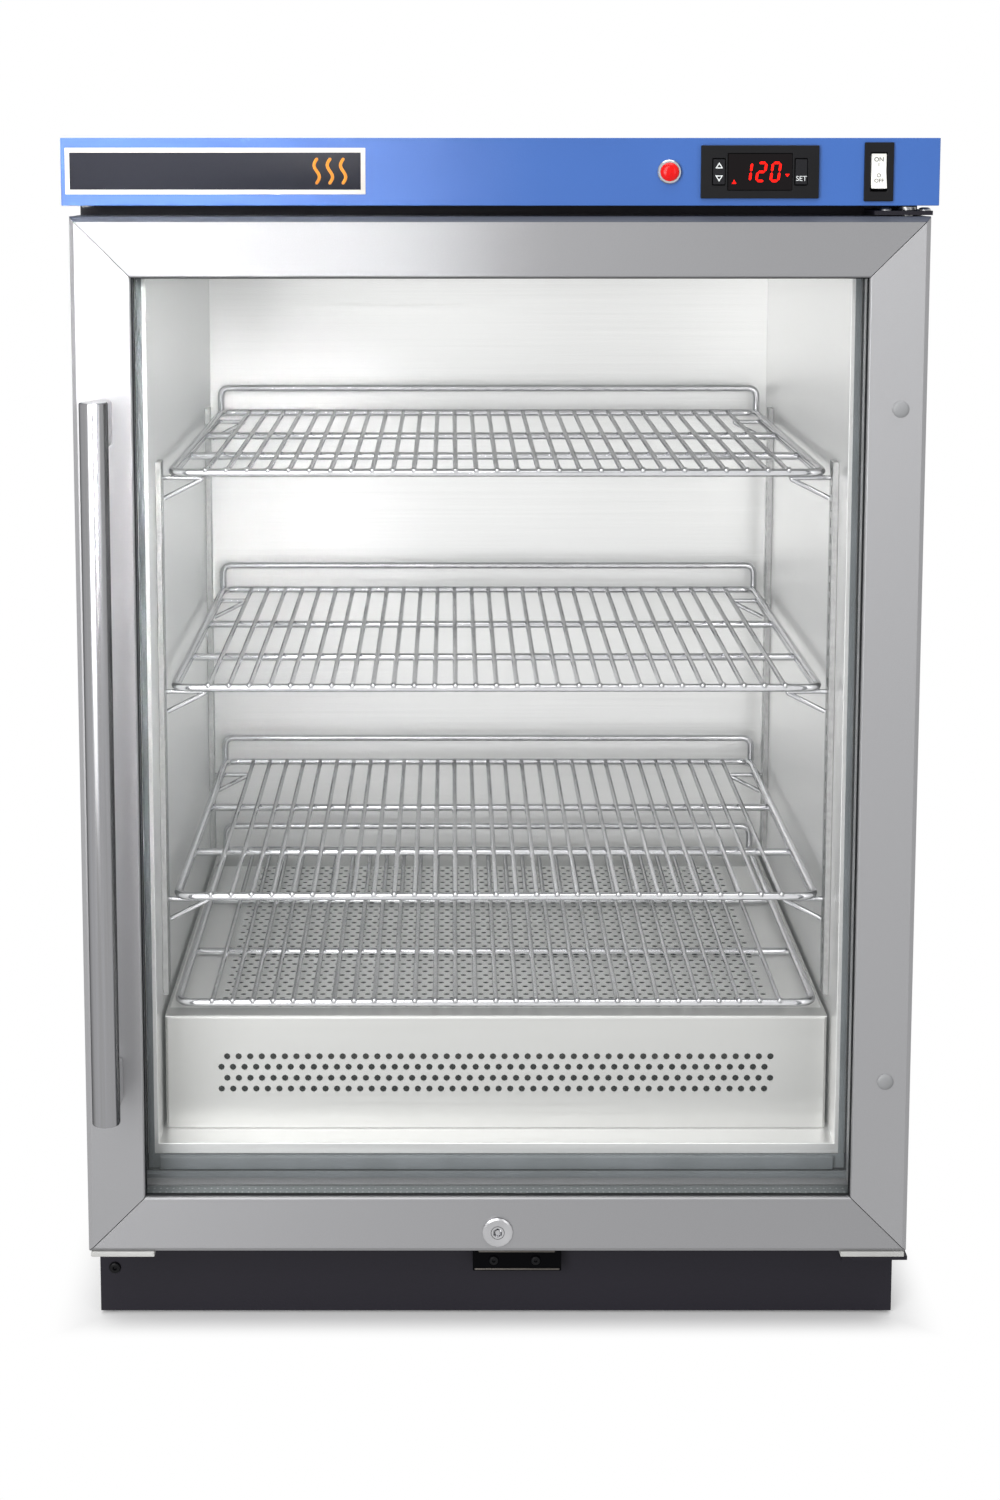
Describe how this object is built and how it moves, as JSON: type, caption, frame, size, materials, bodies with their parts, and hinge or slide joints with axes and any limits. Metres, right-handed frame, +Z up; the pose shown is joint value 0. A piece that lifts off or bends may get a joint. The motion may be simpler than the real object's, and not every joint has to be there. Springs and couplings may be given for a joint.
{
  "type": "blanket warming cabinet",
  "caption": "Under-counter blanket warmer with a blue control cap, a framed glass door hinged at the right, wire shelves on side brackets and a heater under the floor rack.",
  "frame": {"origin": "centre of the bounding box's footprint, on the floor that the feet stand on", "axes": "+Z up; the door and its controls face -Y; +X to the right of someone who faces the door"},
  "size_m": [0.6, 0.605, 0.871],
  "materials": {
    "blue_enamel": "gloss",
    "black_enamel": "satin",
    "liner_steel": "satin",
    "door_metal": "satin",
    "handle_steel": "satin",
    "fitting_steel": "satin",
    "shelf_chrome": "polished",
    "lamp_chrome": "polished",
    "insulation": "matte",
    "black_plastic": "matte",
    "display_window": "gloss",
    "lamp_lens": "gloss",
    "key_rubber": "matte",
    "gasket_rubber": "matte",
    "white_plastic": "satin",
    "pane_glass": "gloss",
    "pad_plastic": "satin",
    "element_steel": "satin"
  },
  "bodies": {
    "cabinet": {"outer_wrapper": "black_enamel", "back_panel": "black_enamel", "base_pan": "black_enamel", "kick_plate": "black_enamel", "inner_liner": "liner_steel", "insulation_foam": "insulation", "top_cap": "blue_enamel", "pilot_lamp_bezel": "lamp_chrome", "pilot_lamp_lens": "lamp_lens", "controller_case": "black_plastic", "controller_window": "display_window", "switch_bezel": "black_plastic", "power_inlet": "black_plastic", "upper_hinge_bracket": "black_enamel", "lower_hinge_bracket": "black_enamel", "upper_hinge_pin": "fitting_steel", "lower_hinge_pin": "fitting_steel", "lock_strike": "black_enamel", "foot_front_left": "black_plastic", "foot_front_right": "black_plastic", "foot_rear_left": "black_plastic", "foot_rear_right": "black_plastic", "shelf_standard_front_left": "fitting_steel", "shelf_standard_front_right": "fitting_steel", "shelf_standard_rear_left": "fitting_steel", "shelf_standard_rear_right": "fitting_steel", "shelf_upper_bracket_left": "shelf_chrome", "shelf_upper_bracket_right": "shelf_chrome", "shelf_middle_bracket_left": "shelf_chrome", "shelf_middle_bracket_right": "shelf_chrome", "shelf_lower_bracket_left": "shelf_chrome", "shelf_lower_bracket_right": "shelf_chrome", "heater_cover": "liner_steel", "heating_element": "element_steel", "fan_frame": "black_plastic", "temp_probe": "fitting_steel"},
    "door": {"handle_stile": "door_metal", "hinge_stile": "door_metal", "top_rail": "door_metal", "bottom_rail": "door_metal", "glass_outer": "pane_glass", "glass_spacer": "door_metal", "glass_inner": "pane_glass", "door_gasket": "gasket_rubber", "handle_bar": "handle_steel", "handle_post_upper": "handle_steel", "handle_post_lower": "handle_steel", "lock_housing": "lamp_chrome", "door_pad_left": "pad_plastic", "door_pad_right": "pad_plastic"},
    "lock": {"lock_barrel": "lamp_chrome", "lock_cam": "fitting_steel"},
    "switch": {"switch_rocker": "white_plastic"},
    "adjust": {"adjust_key": "key_rubber"},
    "set": {"set_key": "key_rubber"},
    "fan": {"fan_rotor": "black_plastic"},
    "upper_shelf": {"shelf_upper": "shelf_chrome"},
    "middle_shelf": {"shelf_middle": "shelf_chrome"},
    "lower_shelf": {"shelf_lower": "shelf_chrome"},
    "bottom_rack": {"floor_rack": "shelf_chrome"}
  },
  "joints": [
    {"name": "door_swing", "type": "hinge", "parent": "cabinet", "child": "door", "pos_m": [0.282, -0.23375, 0.4], "axis": [0, 0, 1], "range_deg": [0, 110]},
    {"name": "lock_turn", "type": "hinge", "parent": "door", "child": "lock", "pos_m": [0, -0.2, 0.0885], "axis": [0, 1, 0], "range_deg": [0, 90]},
    {"name": "switch_rock", "type": "hinge", "parent": "cabinet", "child": "switch", "pos_m": [0.258, -0.25325, 0.848], "axis": [1, 0, 0], "range_deg": [0, 16]},
    {"name": "adjust_key_rock", "type": "hinge", "parent": "cabinet", "child": "adjust", "pos_m": [0.1488, -0.2559, 0.848], "axis": [1, 0, 0], "range_deg": [-4, 4], "stiffness_Nm_per_rad": 0.05},
    {"name": "set_key_rock", "type": "hinge", "parent": "cabinet", "child": "set", "pos_m": [0.2048, -0.2559, 0.848], "axis": [1, 0, 0], "range_deg": [-4, 4], "stiffness_Nm_per_rad": 0.05},
    {"name": "fan_spin", "type": "hinge", "parent": "cabinet", "child": "fan", "pos_m": [0, 0.08, 0.176], "axis": [0, 1, 0], "continuous": true},
    {"name": "upper_shelf_lift", "type": "slide", "parent": "cabinet", "child": "upper_shelf", "axis": [0, 0, 1], "range_m": [0, 0.02]},
    {"name": "middle_shelf_lift", "type": "slide", "parent": "cabinet", "child": "middle_shelf", "axis": [0, 0, 1], "range_m": [0, 0.02]},
    {"name": "lower_shelf_lift", "type": "slide", "parent": "cabinet", "child": "lower_shelf", "axis": [0, 0, 1], "range_m": [0, 0.02]},
    {"name": "bottom_rack_lift", "type": "slide", "parent": "cabinet", "child": "bottom_rack", "axis": [0, 0, 1], "range_m": [0, 0.02]}
  ]
}
